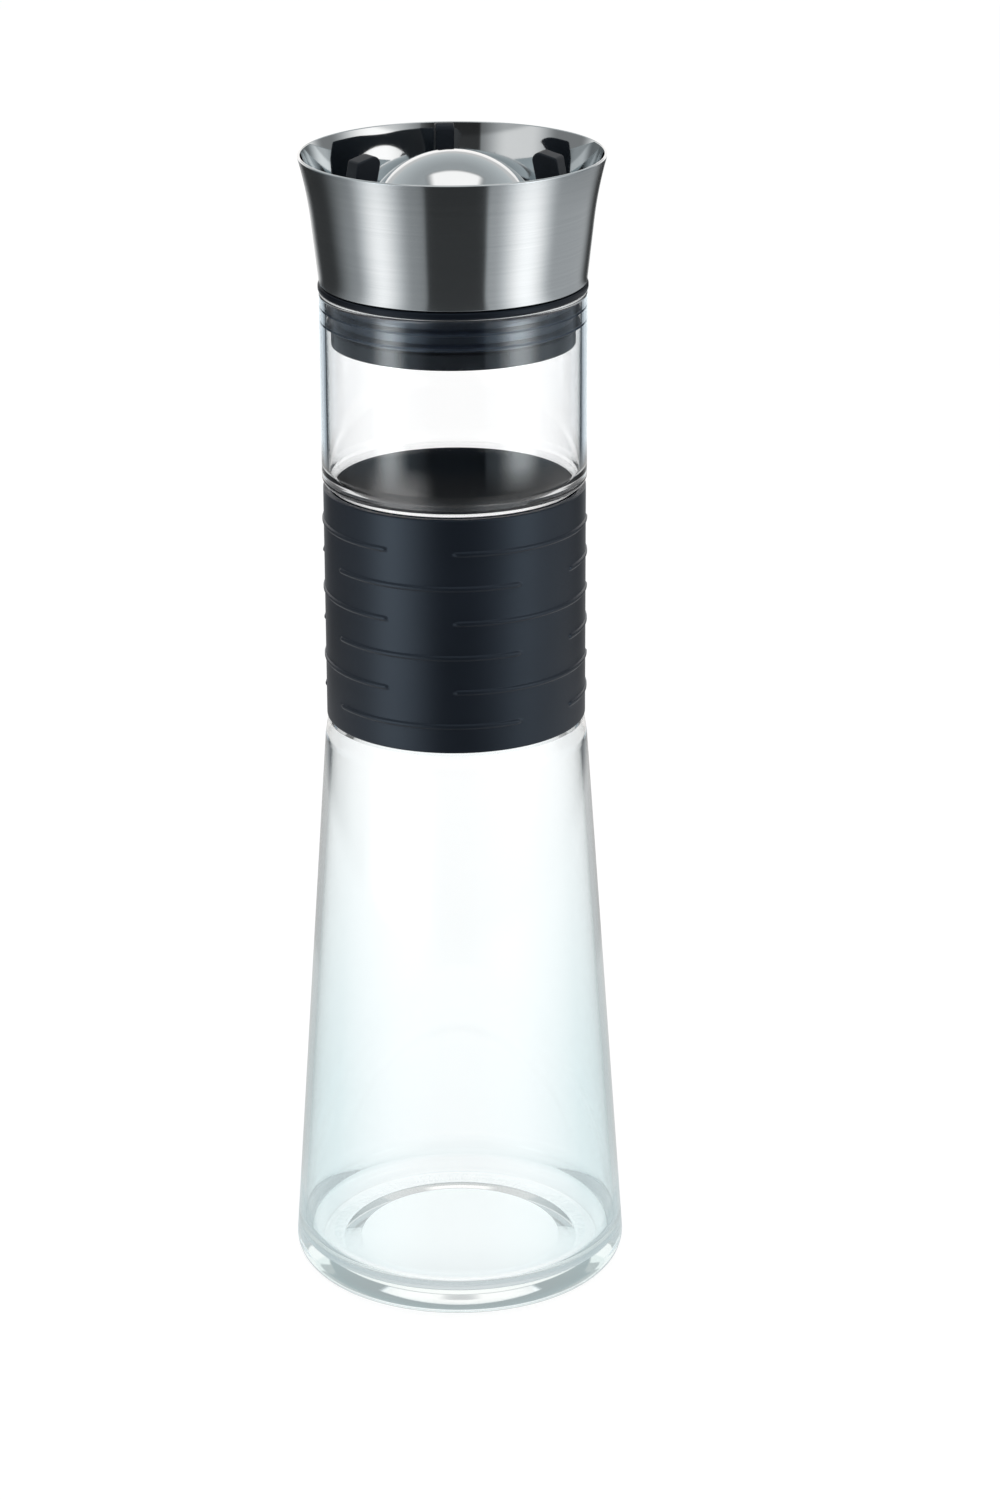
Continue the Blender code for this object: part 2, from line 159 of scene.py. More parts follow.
# Brushed steel: scales of its noise in each metre, shares, roughness and relief
BRUSHED_DARK = (0.524, 0.576, 0.606)
BRUSHED_PALE = (0.588, 0.640, 0.670)
HAIR_SCALE = (30.0, 30.0, 5200.0)
BAND_SCALE = (9.0, 9.0, 900.0)
SMUDGE_SCALE = 55.0
HAIR_SHARE = 0.65
HAIR_RANGE = (0.3, 0.7)
BRUSHED_ROUGHNESS = 0.165
HAIR_ROUGHNESS = 0.035
SMUDGE_ROUGHNESS = 0.02
BRUSHED_STRETCH = 0.65
ROUND_THE_AXIS = 0.25
HAIR_RELIEF = 0.05
LINE_DEPTH = 0.01 * MM

# Polished steel of the collar's inside and of the dome
POLISHED_DARK = (0.578, 0.618, 0.637)
POLISHED_PALE = (0.642, 0.684, 0.704)
TURNING_SCALE = (14.0, 14.0, 2600.0)
TURNING_RELIEF = 0.04
HAZE_SCALE = 70.0
HAZE_RANGE = (0.45, 0.8)
HAZE_ROUGHNESS = 0.04

# Silicone of the sleeve, of the lips and gasket, and of the seal's dry flange
GRIP_BLACK = (0.0068, 0.0095, 0.0155)
LIP_BLACK = (0.0052, 0.0088, 0.0180)
FLANGE_BLACK = (0.0052, 0.0075, 0.0120)
GRAIN_SCALE = 2600.0
GRAIN_ROUGHNESS = 0.06
GRAIN_RELIEF = 0.12
DUST_SCALE = 38.0
DUST_RANGE = (0.35, 0.75)
DUST_ROUGHNESS = 0.08
DUST_GAIN = 1.35
DUST_LIFT = 0.001
SKIN_DEPTH = 0.03 * MM

# Black plastic
PLASTIC_DARK = (0.006, 0.0068, 0.009)
PLASTIC_PALE = (0.010, 0.011, 0.014)
SPARK_SCALE = 3400.0
SPARK_ROUGHNESS = 0.12
SPARK_RELIEF = 0.25
CLOUD_SCALE = 90.0
CLOUD_ROUGHNESS = 0.06
PLASTIC_ROUGHNESS = 0.38
PLASTIC_GLOSS = 0.36

# Cast of the gloss on black pieces
COOL_GLOSS = (0.66, 0.82, 1.0, 1.0)

# Glass: colours seen straight on, which are the glass's own tint, and from the side, which are painted shade
# for its dark edges, and how far a face turns between the two
GLASS_IOR = 1.47
CLEAR = (0.998, 0.999, 0.999)
OUTER_ASIDE = (0.04, 0.42)
OUTER_NECK = (CLEAR, (0.96, 0.97, 0.975))
OUTER_BODY = ((0.93, 0.965, 0.97), (0.60, 0.745, 0.765))
INNER_ASIDE = (0.81, 0.95)
# The inside of the neck goes near black from the side: a painted dark line along its inner wall
INNER_NECK = (CLEAR, (0.015, 0.022, 0.028))
INNER_BODY = (CLEAR, (0.45, 0.55, 0.57))
LAMP_PASS = (0.93, 0.95, 0.95, 1.0)
WAVE_STRETCH = (1.0, 1.0, 2.2)
WAVE_SCALE = 26.0
WAVE_RELIEF = 0.05
WAVE_DEPTH = 0.4 * MM

# Depths under the rim between which the painted edge shade comes in, and heights where the body's colours
# (tint and painted edge shade) do
PAINTED_SHADE_START = 10.0 * MM
PAINTED_SHADE_FULL = 17.0 * MM
BODY_TINT_AND_SHADE_START = 180.0 * MM
BODY_TINT_AND_SHADE_FULL = 60.0 * MM

# Colours of the studio's light
WHITE = (1.0, 1.0, 1.0)
BLACK = (0.0, 0.0, 0.0)
WARM_CARD = (1.05, 0.995, 0.965)
COOL_DIM_CARD = (0.86, 1.0, 1.12)
COOL_BRIGHT_CARD = (0.93, 1.0, 1.03)
COOL_SKY = (0.965, 1.0, 1.01)
COOL_FLOOR = (0.94, 1.0, 1.02)

# Glossy bounces past which a ray is mirrored, and past which it is trapped in the glass
MIRRORED_DEPTH = 0.5
TRAPPED_DEPTH = 2.5

# Background: sines of the sky's lowest and highest elevation, its gain behind glass, and the floor
SKY_FOOT = 0.3
SKY_CROWN = 0.8
THROUGH_GLASS = 1.12
FLOOR_RADIUS = 5.0
FLOOR_SIDES = 96

# Tent and ring of cards, in metres from the axis and above the floor
TENT_RADIUS = 1.3
TENT_HEIGHT = 0.9
TENT_LIFT = 2.0 * MM
TENT_BEND = 0.5
TENT_HOLE = 0.07
SLEEVE_CARDS_START = 0.42
NECK_CARDS_START = 0.79
WALL_CARDS_START = 1.12
ZONE_BLEND = 0.04
COLLAR_RING_RADIUS = 0.06
COLLAR_RING_TOP = 0.30
COLLAR_RING_BOTTOM = 0.2662
COLLAR_APRON_RADIUS = 0.0425
COLLAR_APRON_BOTTOM = 0.2710
OVERHEAD_CARD_PLACE = Vector((0.075, 0.16, 1.5))

# Light at which cards have their dim and bright colours, a flag's soft edge in degrees, a card's even part
DIM_CARD = 0.3
BRIGHT_CARD = 1.3
FLAG_EDGE = 0.7
CARD_MIDDLE = 0.62

# A card's azimuth, the half widths of its full light and of its whole glow in degrees, and its strength
Card = namedtuple("Card", "azimuth full reach strength")
Flag = namedtuple("Flag", "azimuth half_width")

# The distance from the axis where a zone starts, its colours, its dimmest light, its cards and dark flags
Zone = namedtuple("Zone", "start dim_colour bright_colour dimmest cards flags")

# The heights between which cards lose light, and the share that they lose
Shade = namedtuple("Shade", "start end loss")

# Cards that the cone, the sleeve, the neck with its seal, and the inside of the collar mirror
BODY_CARDS = (
    Card(-70.0, 20.0, 65.0, 0.6),
    Card(70.0, 20.0, 65.0, 0.6),
    Card(180.0, 50.0, 90.0, 0.4),
)
SLEEVE_CARDS = (
    Card(-50.0, 7.0, 36.0, 2.35),
    Card(-85.0, 0.0, 30.0, 0.3),
    Card(80.0, 14.0, 56.0, 0.55),
    Card(180.0, 14.0, 40.0, 0.36),
)
NECK_CARDS = (
    Card(-57.0, 0.0, 20.0, 3.3),
    Card(-57.0, 20.0, 40.0, 0.25),
    Card(59.0, 0.0, 24.0, 3.3),
    Card(60.0, 24.0, 44.0, 0.4),
    Card(183.0, 60.0, 157.0, 0.3),
    Card(180.0, 6.0, 40.0, 0.95),
)
NECK_FLAGS = (Flag(3.0, 23.5), Flag(-138.0, 10.5), Flag(138.0, 10.5))
WALL_CARDS = (
    Card(181.0, 155.0, 157.0, 0.22),
    Card(180.0, 34.0, 62.0, 0.95),
    Card(-56.0, 10.0, 36.0, 0.66),
    Card(61.0, 4.0, 48.0, 1.25),
)
TENT_ZONES = (
    Zone(TENT_HOLE, WHITE, WHITE, 0.25, BODY_CARDS, ()),
    Zone(SLEEVE_CARDS_START, WHITE, WHITE, 0.14, SLEEVE_CARDS, ()),
    Zone(NECK_CARDS_START, COOL_DIM_CARD, COOL_BRIGHT_CARD, 0.05, NECK_CARDS, NECK_FLAGS),
    Zone(WALL_CARDS_START, WHITE, WARM_CARD, 0.05, WALL_CARDS, ()),
)
TENT_SHADE = Shade(0.66, 0.70, 0.4)

# Cards that the outside of the collar mirrors
COLLAR_CARDS = (
    Card(-44.0, 0.0, 21.0, 1.08),
    Card(-44.0, 20.0, 46.0, 0.33),
    Card(45.5, 1.0, 22.5, 1.12),
    Card(60.0, 40.0, 59.0, 0.45),
    Card(-142.0, 6.0, 30.0, 0.85),
    Card(146.0, 4.0, 22.0, 0.85),
)
COLLAR_FLAGS = (Flag(2.0, 17.3), Flag(180.0, 17.0))
COLLAR_ZONES = (Zone(COLLAR_APRON_RADIUS, WHITE, WARM_CARD, 0.05, COLLAR_CARDS, COLLAR_FLAGS),)
COLLAR_SHADE = Shade(0.284, 0.294, 0.24)

# Facets
SIDES = 256
SLEEVE_SIDES = 400
FILLET_TURN = math.radians(12.0)
ARC_TURN = math.radians(3.0)
FLARE_TURN = math.radians(1.0)
LARGE_FILLET = 3.0 * MM
FILLET_SHARE = 0.48
SHARP_ANGLE = math.radians(30.0)
UPWARD_FACE = 0.1
BEVEL_SEGMENTS = 3
ROUND_BEVEL = 0.5
LARGE_FACES_FIRST = 100
POLE = 0.001 * MM

# Places and radii read from the frame
glass_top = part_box("glass_body")[1].z
sleeve_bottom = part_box("grip_sleeve")[0].z
sleeve_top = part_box("grip_sleeve")[1].z
collar_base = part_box("pouring_collar")[0].z
seal_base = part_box("neck_seal")[0].z
seal_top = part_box("neck_seal")[1].z
flange_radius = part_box("neck_seal")[1].x
core_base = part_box("stopper_core")[0].z
seat_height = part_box("stopper_core")[1].z
deck_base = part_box("guide_cage")[0].z
deck_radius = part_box("guide_cage")[1].x
dome_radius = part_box("valve_dome")[1].x
dome_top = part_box("valve_dome")[1].z
carrier_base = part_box("valve_dome")[0].z
boss_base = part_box("dome_carrier")[0].z
plate_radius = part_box("dome_carrier")[1].x
gasket_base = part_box("valve_gasket")[0].z
gasket_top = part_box("valve_gasket")[1].z
gasket_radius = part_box("valve_gasket")[1].x

# Radii and heights that follow from them
waist_radius = NECK_RADIUS - WAIST_DEPTH
sleeve_bore = waist_radius + SLEEVE_GAP
sleeve_radius = sleeve_bore + SLEEVE_THICKNESS
neck_bore = NECK_RADIUS - GLASS_WALL
lip_radius = neck_bore + LIP_PRESS
seal_radius = neck_bore - FIT_GAP - LIP_REACH
seal_bore = seal_radius - SEAL_WALL
core_bore = CORE_RADIUS - CORE_WALL
throat_radius = core_bore - SEAT_WIDTH
boss_radius = throat_radius - BOSS_CLEARANCE
core_shoulder = seat_height - SEAT_RISE
deck_top = deck_base + DECK_THICKNESS
finger_top = deck_base + FINGER_HEIGHT
finger_inner = dome_radius + GUIDE_CLEARANCE
finger_outer = finger_inner + FINGER_DEPTH
dome_centre = dome_top - dome_radius


def arc(centre, radius, start, sweep, turn):
    """Points on an arc of the profile plane, from the angle start on, one for each turn or less."""
    steps = max(1, math.ceil(abs(sweep) / turn))
    angles = [start + sweep * step / steps for step in range(steps + 1)]
    return [centre + radius * Vector((math.cos(angle), math.sin(angle))) for angle in angles]


def rounded(corners, closed=True):
    """Outline through corners given as (radius, height, fillet). An open outline keeps its ends sharp."""
    outline = []
    for index, (radius, height, fillet) in enumerate(corners):
        corner = Vector((radius, height))
        at_end = not closed and index in (0, len(corners) - 1)
        if fillet == 0.0 or at_end:
            outline.append(corner)
            continue
        to_last = Vector(corners[index - 1][:2]) - corner
        to_next = Vector(corners[(index + 1) % len(corners)][:2]) - corner
        half = to_last.angle(to_next) / 2
        run = min(fillet / math.tan(half), FILLET_SHARE * min(to_last.length, to_next.length))
        bend = run * math.tan(half)
        middle = (to_last.normalized() + to_next.normalized()).normalized()
        centre = corner + middle * bend / math.sin(half)
        first = corner + to_last.normalized() * run - centre
        sweep = (math.pi - 2 * half) * (1 if to_last.cross(to_next) < 0 else -1)
        turn = ARC_TURN if bend >= LARGE_FILLET else FILLET_TURN
        outline.extend(arc(centre, bend, math.atan2(first.y, first.x), sweep, turn))
    return outline


def tangent_arc(start, direction, end, turn):
    """Points after start on the arc that leaves start along direction and ends at end."""
    chord = end - start
    side = Vector((-direction.y, direction.x)).normalized()
    radius = chord.length_squared / (2 * chord.dot(side))
    centre = start + side * radius
    spoke = start - centre
    sweep = 2 * math.asin(chord.length / (2 * abs(radius))) * math.copysign(1, radius)
    return arc(centre, spoke.length, math.atan2(spoke.y, spoke.x), sweep, turn)[1:]


def offset_line(points, distance):
    """A line of profile points moved sideways, to the left of the way it runs."""
    moved = []
    for index, point in enumerate(points):
        before = points[max(index - 1, 0)]
        after = points[min(index + 1, len(points) - 1)]
        along = (after - before).normalized()
        moved.append(point + distance * Vector((-along.y, along.x)))
    return moved


def add_piece(name, shape, finishes):
    """A new object from a bmesh, shaded smooth but for its sharp edges."""
    mesh = bpy.data.meshes.new(name)
    shape.to_mesh(mesh)
    shape.free()
    for finish in finishes:
        mesh.materials.append(finish)
    mesh.shade_smooth()
    mesh.set_sharp_from_angle(angle=SHARP_ANGLE)
    piece = bpy.data.objects.new(name, mesh)
    bpy.context.scene.collection.objects.link(piece)
    return piece


def even_shading(piece):
    """Lets large faces set the shading, so that walls stay true beside their fillets."""
    weighted = piece.modifiers.new("even_shading", "WEIGHTED_NORMAL")
    weighted.keep_sharp = True
    weighted.weight = LARGE_FACES_FIRST


def turned_shape(outline, sides=SIDES, swell=None):
    """A bmesh of a closed outline, which runs down its outer side, turned round the Z axis."""
    shape = bmesh.new()
    rings = []
    for radius, height in outline:
        if radius < POLE:
            rings.append([shape.verts.new((0.0, 0.0, height))] * sides)
            continue
        ring = []
        for side in range(sides):
            angle = 2 * math.pi * side / sides
            reach = radius + (swell(angle, radius, height) if swell else 0.0)
            ring.append(shape.verts.new((reach * math.cos(angle), reach * math.sin(angle), height)))
        rings.append(ring)
    for upper, lower in zip(rings, rings[1:] + rings[:1]):
        for side in range(sides):
            after = (side + 1) % sides
            corners = dict.fromkeys((upper[side], lower[side], lower[after], upper[after]))
            if len(corners) > 2:
                shape.faces.new(list(corners))
    return shape


def turned(name, outline, finishes, sides=SIDES, swell=None):
    """A new object from a closed outline turned round the Z axis."""
    piece = add_piece(name, turned_shape(outline, sides, swell), finishes)
    even_shading(piece)
    return piece


def fit(piece, node, body):
    """Puts a piece in the place of its CAD node."""
    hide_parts(node)
    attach(piece, body)


class Socket:
    """An output socket of a material. Arithmetic on it adds Math nodes to the same material."""

    def __init__(self, tree, output=None):
        self.tree = tree
        self.output = output

    def add(self, kind, settings=None, sockets=None, output=0):
        """A new node: its settings first, then the values or links of its input sockets."""
        node = self.tree.nodes.new(kind)
        for name, value in (settings or {}).items():
            setattr(node, name, value)
        for key, value in (sockets or {}).items():
            if isinstance(value, Socket):
                self.tree.links.new(value.output, node.inputs[key])
            else:
                node.inputs[key].default_value = value
        return Socket(self.tree, node.outputs[output] if node.outputs else None)

    def beside(self, name):
        """Another output of the same node."""
        return Socket(self.tree, self.output.node.outputs[name])

    def math(self, operation, first, second):
        return self.add("ShaderNodeMath", {"operation": operation}, {0: first, 1: second})

    def __add__(self, other):
        return self.math("ADD", self, other)

    def __radd__(self, other):
        return self.math("ADD", other, self)

    def __sub__(self, other):
        return self.math("SUBTRACT", self, other)

    def __rsub__(self, other):
        return self.math("SUBTRACT", other, self)

    def __mul__(self, other):
        return self.math("MULTIPLY", self, other)

    def __rmul__(self, other):
        return self.math("MULTIPLY", other, self)

    def __pow__(self, other):
        return self.math("POWER", self, other)

    def above(self, level):
        """1 where this value is above a level, and 0 elsewhere."""
        return self.math("GREATER_THAN", self, level)

    def at_most(self, other):
        return self.math("MINIMUM", self, other)

    def at_least(self, other):
        return self.math("MAXIMUM", self, other)

    def size(self):
        return self.math("ABSOLUTE", self, 0.0)

    def apart(self, azimuth):
        """Degrees between this azimuth and another one."""
        return 180.0 - ((self - azimuth).size() - 180.0).size()

    def spread(self, x, y, z):
        """This vector with each of its parts scaled."""
        return self.add("ShaderNodeVectorMath", {"operation": "MULTIPLY"}, {0: self, 1: (x, y, z)})

    def noise(self, scale=1.0, detail=2.0, roughness=0.5):
        """Noise at this vector, from 0 to 1."""
        sockets = {"Vector": self, "Scale": scale, "Detail": detail, "Roughness": roughness}
        return self.add("ShaderNodeTexNoise", {}, sockets)

    def between(self, low, high):
        """This value stretched so that low becomes 0 and high becomes 1, and kept between them."""
        return self.add("ShaderNodeMapRange", {"clamp": True}, {"Value": self, 1: low, 2: high})

    def soft(self, low, high):
        """As between, with a gentle start and end."""
        settings = {"clamp": True, "interpolation_type": "SMOOTHSTEP"}
        return self.add("ShaderNodeMapRange", settings, {"Value": self, 1: low, 2: high})

    def blend(self, first, second):
        """A colour between two others, by this value."""
        settings = {"data_type": "RGBA", "clamp_factor": True}
        return self.add("ShaderNodeMix", settings, {0: self, 6: first, 7: second}, 2)

    def tint(self, dark, light):
        """A colour between two given as (red, green, blue), by this value."""
        return self.blend((*dark, 1.0), (*light, 1.0))

    def bump(self, strength, depth):
        """A normal that follows this value as a relief of that depth in metres."""
        return self.add("ShaderNodeBump", {}, {"Strength": strength, "Distance": depth, "Height": self})


def new_finish(name):
    """A material with an empty node tree, and the socket that its nodes start from."""
    finish = bpy.data.materials.new(name)
    finish.use_nodes = True
    finish.node_tree.nodes.clear()
    return finish, Socket(finish.node_tree)


def place_on(start):
    """The place on a piece in metres, in the frame of the carafe at rest."""
    return start.add("ShaderNodeTexCoord", {}, {}, "Object")


def close(start, shader):
    start.add("ShaderNodeOutputMaterial", {}, {"Surface": shader})


def principled(start, **sockets):
    named = {name.replace("_", " "): value for name, value in sockets.items()}
    return start.add("ShaderNodeBsdfPrincipled", {}, named)


def brushed_steel():
    """Steel brushed round the axis: fine level lines, and a sheen that stretches up and down."""
    finish, start = new_finish("brushed_steel")
    place = place_on(start)
    hair = place.spread(*HAIR_SCALE).noise(detail=3.0, roughness=0.6)
    band = place.spread(*BAND_SCALE).noise()
    smudge = place.noise(SMUDGE_SCALE, detail=3.0)
    lines = HAIR_SHARE * hair + (1.0 - HAIR_SHARE) * band
    shader = principled(
        start,
        Base_Color=lines.between(*HAIR_RANGE).tint(BRUSHED_DARK, BRUSHED_PALE),
        Metallic=1.0,
        Roughness=BRUSHED_ROUGHNESS + HAIR_ROUGHNESS * hair + SMUDGE_ROUGHNESS * smudge,
        Anisotropic=BRUSHED_STRETCH,
        Anisotropic_Rotation=ROUND_THE_AXIS,
        Normal=hair.bump(HAIR_RELIEF, LINE_DEPTH),
    )
    close(start, shader)
    return finish


def polished_steel(name, low_roughness, line_share):
    """Steel polished on a lathe, with faint turning lines and a little handling haze."""
    finish, start = new_finish(name)
    place = place_on(start)
    line = place.spread(*TURNING_SCALE).noise(detail=3.0, roughness=0.55)
    haze = place.noise(HAZE_SCALE, detail=4.0, roughness=0.6)
    shader = principled(
        start,
        Base_Color=haze.tint(POLISHED_DARK, POLISHED_PALE),
        Metallic=1.0,
        Roughness=low_roughness + line_share * line + HAZE_ROUGHNESS * haze.between(*HAZE_RANGE),
        Normal=line.bump(TURNING_RELIEF, LINE_DEPTH),
    )
    close(start, shader)
    return finish


def silicone(name, colour, roughness, gloss):
    """Moulded silicone with a satin skin, a fine grain and a trace of dust."""
    finish, start = new_finish(name)
    place = place_on(start)
    grain = place.noise(GRAIN_SCALE, detail=3.0, roughness=0.6)
    dust = place.noise(DUST_SCALE, detail=3.0, roughness=0.55)
    dusty = tuple(DUST_GAIN * part + DUST_LIFT for part in colour)
    shader = principled(
        start,
        Base_Color=dust.between(*DUST_RANGE).tint(colour, dusty),
        Roughness=roughness + DUST_ROUGHNESS * dust + GRAIN_ROUGHNESS * grain,
        Specular_IOR_Level=gloss,
        Specular_Tint=COOL_GLOSS,
        Normal=grain.bump(GRAIN_RELIEF, SKIN_DEPTH),
    )
    close(start, shader)
    return finish


def moulded_plastic():
    """Black plastic with the fine, even texture of an eroded mould."""
    finish, start = new_finish("black_plastic")
    place = place_on(start)
    spark = place.noise(SPARK_SCALE)
    cloud = place.noise(CLOUD_SCALE, detail=3.0)
    shader = principled(
        start,
        Base_Color=cloud.tint(PLASTIC_DARK, PLASTIC_PALE),
        Roughness=PLASTIC_ROUGHNESS + SPARK_ROUGHNESS * spark + CLOUD_ROUGHNESS * cloud,
        Specular_IOR_Level=PLASTIC_GLOSS,
        Specular_Tint=COOL_GLOSS,
        Normal=spark.bump(SPARK_RELIEF, SKIN_DEPTH),
    )
    close(start, shader)
    return finish


def clear_glass(name, aside_range, neck, body):
    """Clear glass whose colour darkens towards the outline of its upright walls: painted shade for the dark
    edges that glass refracts and mirrors. Lamps shine through it.

    The neck and the body each have two colours. The colour seen straight on is the glass's own tint, and the
    colour from the side is painted shade. A ray trapped between the faces is let out, so that the heel and
    the rim don't turn black.
    """
    finish, start = new_finish(name)
    place = place_on(start)
    facing = start.add("ShaderNodeLayerWeight", {}, {}, "Facing")
    height = start.add("ShaderNodeSeparateXYZ", {}, {0: place}, "Z")
    normal = start.add("ShaderNodeNewGeometry", {}, {}, "Normal")
    level = start.add("ShaderNodeSeparateXYZ", {}, {0: normal}, "Z") ** 2.0
    under_rim = height.between(glass_top - PAINTED_SHADE_START, glass_top - PAINTED_SHADE_FULL)
    # Painted shade: the glass darkens towards the outline of its upright walls, from a little under the rim
    # downwards
    painted_edge_shade = facing.between(*aside_range) * (1.0 - level) * under_rim
    in_body = height.between(BODY_TINT_AND_SHADE_START, BODY_TINT_AND_SHADE_FULL)
    wave = place.spread(*WAVE_STRETCH).noise(WAVE_SCALE, detail=1.0)
    glass = principled(
        start,
        Base_Color=in_body.blend(painted_edge_shade.tint(*neck), painted_edge_shade.tint(*body)),
        Roughness=0.0,
        IOR=GLASS_IOR,
        Transmission_Weight=1.0,
        Normal=wave.bump(WAVE_RELIEF, WAVE_DEPTH),
    )
    through = start.add("ShaderNodeBsdfTransparent", {}, {"Color": LAMP_PASS})
    by_lamp = start.add("ShaderNodeLightPath", {}, {}, "Is Shadow Ray")
    trapped = by_lamp.beside("Glossy Depth").above(TRAPPED_DEPTH)
    close(start, start.add("ShaderNodeMixShader", {}, {0: by_lamp.at_least(trapped), 1: glass, 2: through}))
    return finish


def cone_radius(height, cone_top):
    """Outer radius of the glass cone at a height above the standing surface."""
    return CONE_FOOT_RADIUS + (CONE_TOP_RADIUS - CONE_FOOT_RADIUS) * height / cone_top


def make_glass(outside, inside):
    waist_top = sleeve_top + SLEEVE_GAP
    waist_bottom = sleeve_bottom - SLEEVE_GAP
    ledge = waist_bottom - LEDGE_DROP
    cone_top = ledge - FLARE_RUN
    ring = CONE_FOOT_RADIUS - HEEL_FILLET - STANDING_RING_WIDTH
    floor = PUNT_DEPTH + FLOOR_THICKNESS
    outer_side = [
        (NECK_RADIUS, glass_top, GLASS_RIM_FILLET),
        (NECK_RADIUS, waist_top + SHOULDER_RISE, SHOULDER_FILLET),
        (waist_radius, waist_top, WAIST_FILLET),
        (waist_radius, waist_bottom, WAIST_FILLET),
        (sleeve_radius - LEDGE_SETBACK, ledge, WAIST_FILLET),
        (CONE_TOP_RADIUS, cone_top, FLARE_FILLET),
        (CONE_FOOT_RADIUS, 0.0, HEEL_FILLET),
        (ring, 0.0, PUNT_DEPTH),
        (ring - PUNT_SLOPE_RUN, PUNT_DEPTH, PUNT_DEPTH),
        (0.0, PUNT_DEPTH, 0.0),
    ]
    inner_side = [
        (0.0, floor, 0.0),
        (cone_radius(floor, cone_top) - GLASS_WALL, floor, FLOOR_FILLET),
        (CONE_TOP_RADIUS - GLASS_WALL, cone_top, FLARE_FILLET),
        (waist_radius - GLASS_WALL, waist_bottom, FLARE_FILLET),
        (waist_radius - GLASS_WALL, waist_top, FLARE_FILLET),
        (neck_bore, waist_top + INNER_SHOULDER_RISE, FLARE_FILLET),
        (neck_bore, glass_top, GLASS_RIM_FILLET),
    ]
    glass = turned("glass", rounded(outer_side + inner_side), [outside, inside])
    for face in glass.data.polygons:
        inward = face.normal.x * face.center.x + face.normal.y * face.center.y < 0
        face.material_index = 1 if inward and face.center.z > floor else 0
    fit(glass, "glass_body", "vessel")


def rib_rise(angle, radius, height):
    """How far the sleeve's outer face stands out at an angle and a height, for the rib there."""
    if radius < sleeve_radius - POLE:
        return 0.0
    row = round((sleeve_top - RIB_TOP_MARGIN - height) / RIB_ROW_PITCH)
    if not 0 <= row < RIB_ROWS:
        return 0.0
    pitch = 2 * math.pi / RIBS_PER_ROW
    above = height - (sleeve_top - RIB_TOP_MARGIN - row * RIB_ROW_PITCH)
    round_end = RIB_FOOT / 2 / sleeve_radius
    turn = (angle - RIB_START - (row % 2) * pitch / 2 - round_end) % pitch
    past_end = max(0.0, min(turn - RIB_SWEEP + 2 * round_end, pitch - turn))
    away = math.hypot(past_end * sleeve_radius, above)
    share = (RIB_FOOT / 2 - away) / (RIB_FOOT / 2 - RIB_CREST / 2)
    share = min(max(share, 0.0), 1.0)
    return RIB_PROUD * share * share * (3 - 2 * share)


def make_sleeve(finish):
    levels = []
    for row in range(RIB_ROWS):
        middle = sleeve_top - RIB_TOP_MARGIN - row * RIB_ROW_PITCH
        for step in range(RIB_LEVELS):
            levels.append(middle + RIB_FOOT * (0.5 - step / (RIB_LEVELS - 1)))
        gap = RIB_ROW_PITCH - RIB_FOOT
        for step in range(PLAIN_LEVELS):
            levels.append(middle - RIB_FOOT / 2 - gap * (step + 1) / (PLAIN_LEVELS + 1))
    corners = [
        (sleeve_bore, sleeve_top, 0.0),
        (sleeve_radius, sleeve_top, SLEEVE_EDGE_FILLET),
        *((sleeve_radius, level, 0.0) for level in levels),
        (sleeve_radius, sleeve_bottom, SLEEVE_EDGE_FILLET),
        (sleeve_bore, sleeve_bottom, 0.0),
    ]
    sleeve = turned("sleeve", rounded(corners), [finish], SLEEVE_SIDES, rib_rise)
    fit(sleeve, "grip_sleeve", "vessel")


def make_seal(lip_finish, flange_finish):
    under_flange = seal_top - SEAL_FLANGE
    outer_side = [
        (flange_radius, seal_top, SEAL_FILLET),
        (flange_radius, under_flange, SEAL_FILLET),
        (seal_radius, under_flange, 0.0),
    ]
    for lip in range(LIP_COUNT):
        root_top = glass_top - LIP_TOP_DEPTH - lip * LIP_PITCH
        tip = root_top - LIP_ROOT / 2
        outer_side += [
            (seal_radius, root_top, 0.0),
            (lip_radius, tip + LIP_TIP / 2, LIP_TIP_FILLET),
            (lip_radius, tip - LIP_TIP / 2, LIP_TIP_FILLET),
            (seal_radius, root_top - LIP_ROOT, 0.0),
        ]
    inner_side = [
        (seal_radius, seal_base, 0.0),
        (seal_bore, seal_base, 0.0),
        (seal_bore, seal_top, 0.0),
    ]
    seal = turned("seal", rounded(outer_side + inner_side), [lip_finish, flange_finish])
    for face in seal.data.polygons:
        face.material_index = 1 if face.center.z > glass_top else 0
    fit(seal, "neck_seal", "lid")


